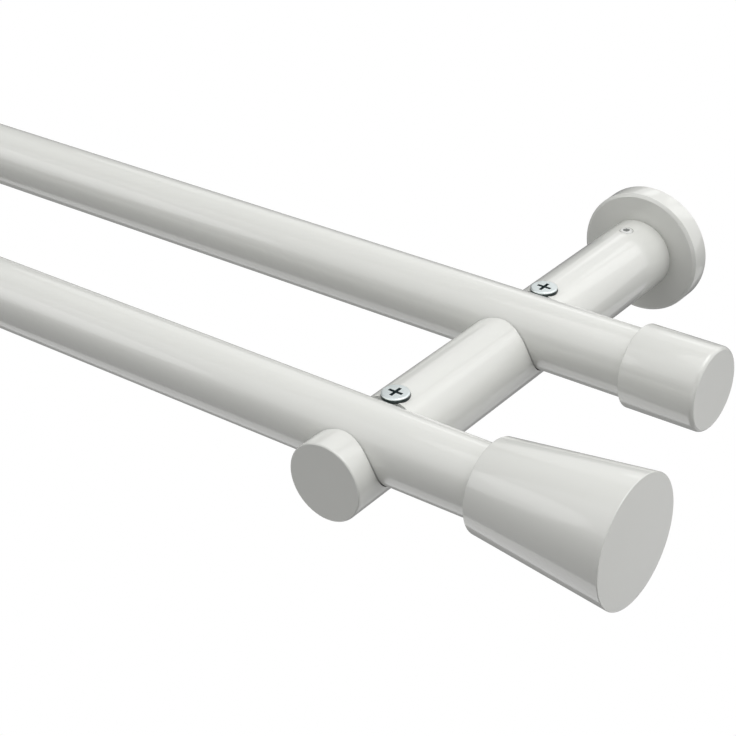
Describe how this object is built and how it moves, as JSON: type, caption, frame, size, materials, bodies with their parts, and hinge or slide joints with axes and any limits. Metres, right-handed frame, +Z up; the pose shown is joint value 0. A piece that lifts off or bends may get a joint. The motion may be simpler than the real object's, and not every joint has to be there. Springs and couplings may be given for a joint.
{
  "type": "double curtain pole",
  "caption": "Double curtain pole: round tubes lie one behind the other in saddled round wall arms with disc roses; cone finials in front, plain caps behind.",
  "frame": {"origin": "on the wall plane, half way between the bracket arms' centre lines, at the height of those centre lines", "axes": "+X along the poles towards the right end seen from the room, +Y into the wall, so that the poles stand out towards -Y, +Z up"},
  "size_m": [1.0404, 0.1635, 0.0424],
  "materials": {
    "white_lacquer": "smooth white lacquer, semi-gloss",
    "white_screw": "white lacquered steel",
    "zinc_screw": "bright zinc plate, slightly blue",
    "zinc_plate": "dull zinc plate"
  },
  "bodies": {
    "root": {"front_pole": "white_lacquer", "rear_pole": "white_lacquer", "left_bracket_arm": "white_lacquer", "left_cover_rose": "white_lacquer", "left_wall_plate": "zinc_plate", "left_arm_boss": "zinc_plate", "left_arm_grub_screw": "white_screw", "left_front_clamp_screw": "zinc_screw", "left_rear_clamp_screw": "zinc_screw", "left_cone_finial": "white_lacquer", "left_cap_finial": "white_lacquer", "left_cone_set_screw": "white_screw", "left_cap_set_screw": "white_screw", "right_bracket_arm": "white_lacquer", "right_cover_rose": "white_lacquer", "right_wall_plate": "zinc_plate", "right_arm_boss": "zinc_plate", "right_arm_grub_screw": "white_screw", "right_front_clamp_screw": "zinc_screw", "right_rear_clamp_screw": "zinc_screw", "right_cone_finial": "white_lacquer", "right_cap_finial": "white_lacquer", "right_cone_set_screw": "white_screw", "right_cap_set_screw": "white_screw"}
  },
  "joints": []
}
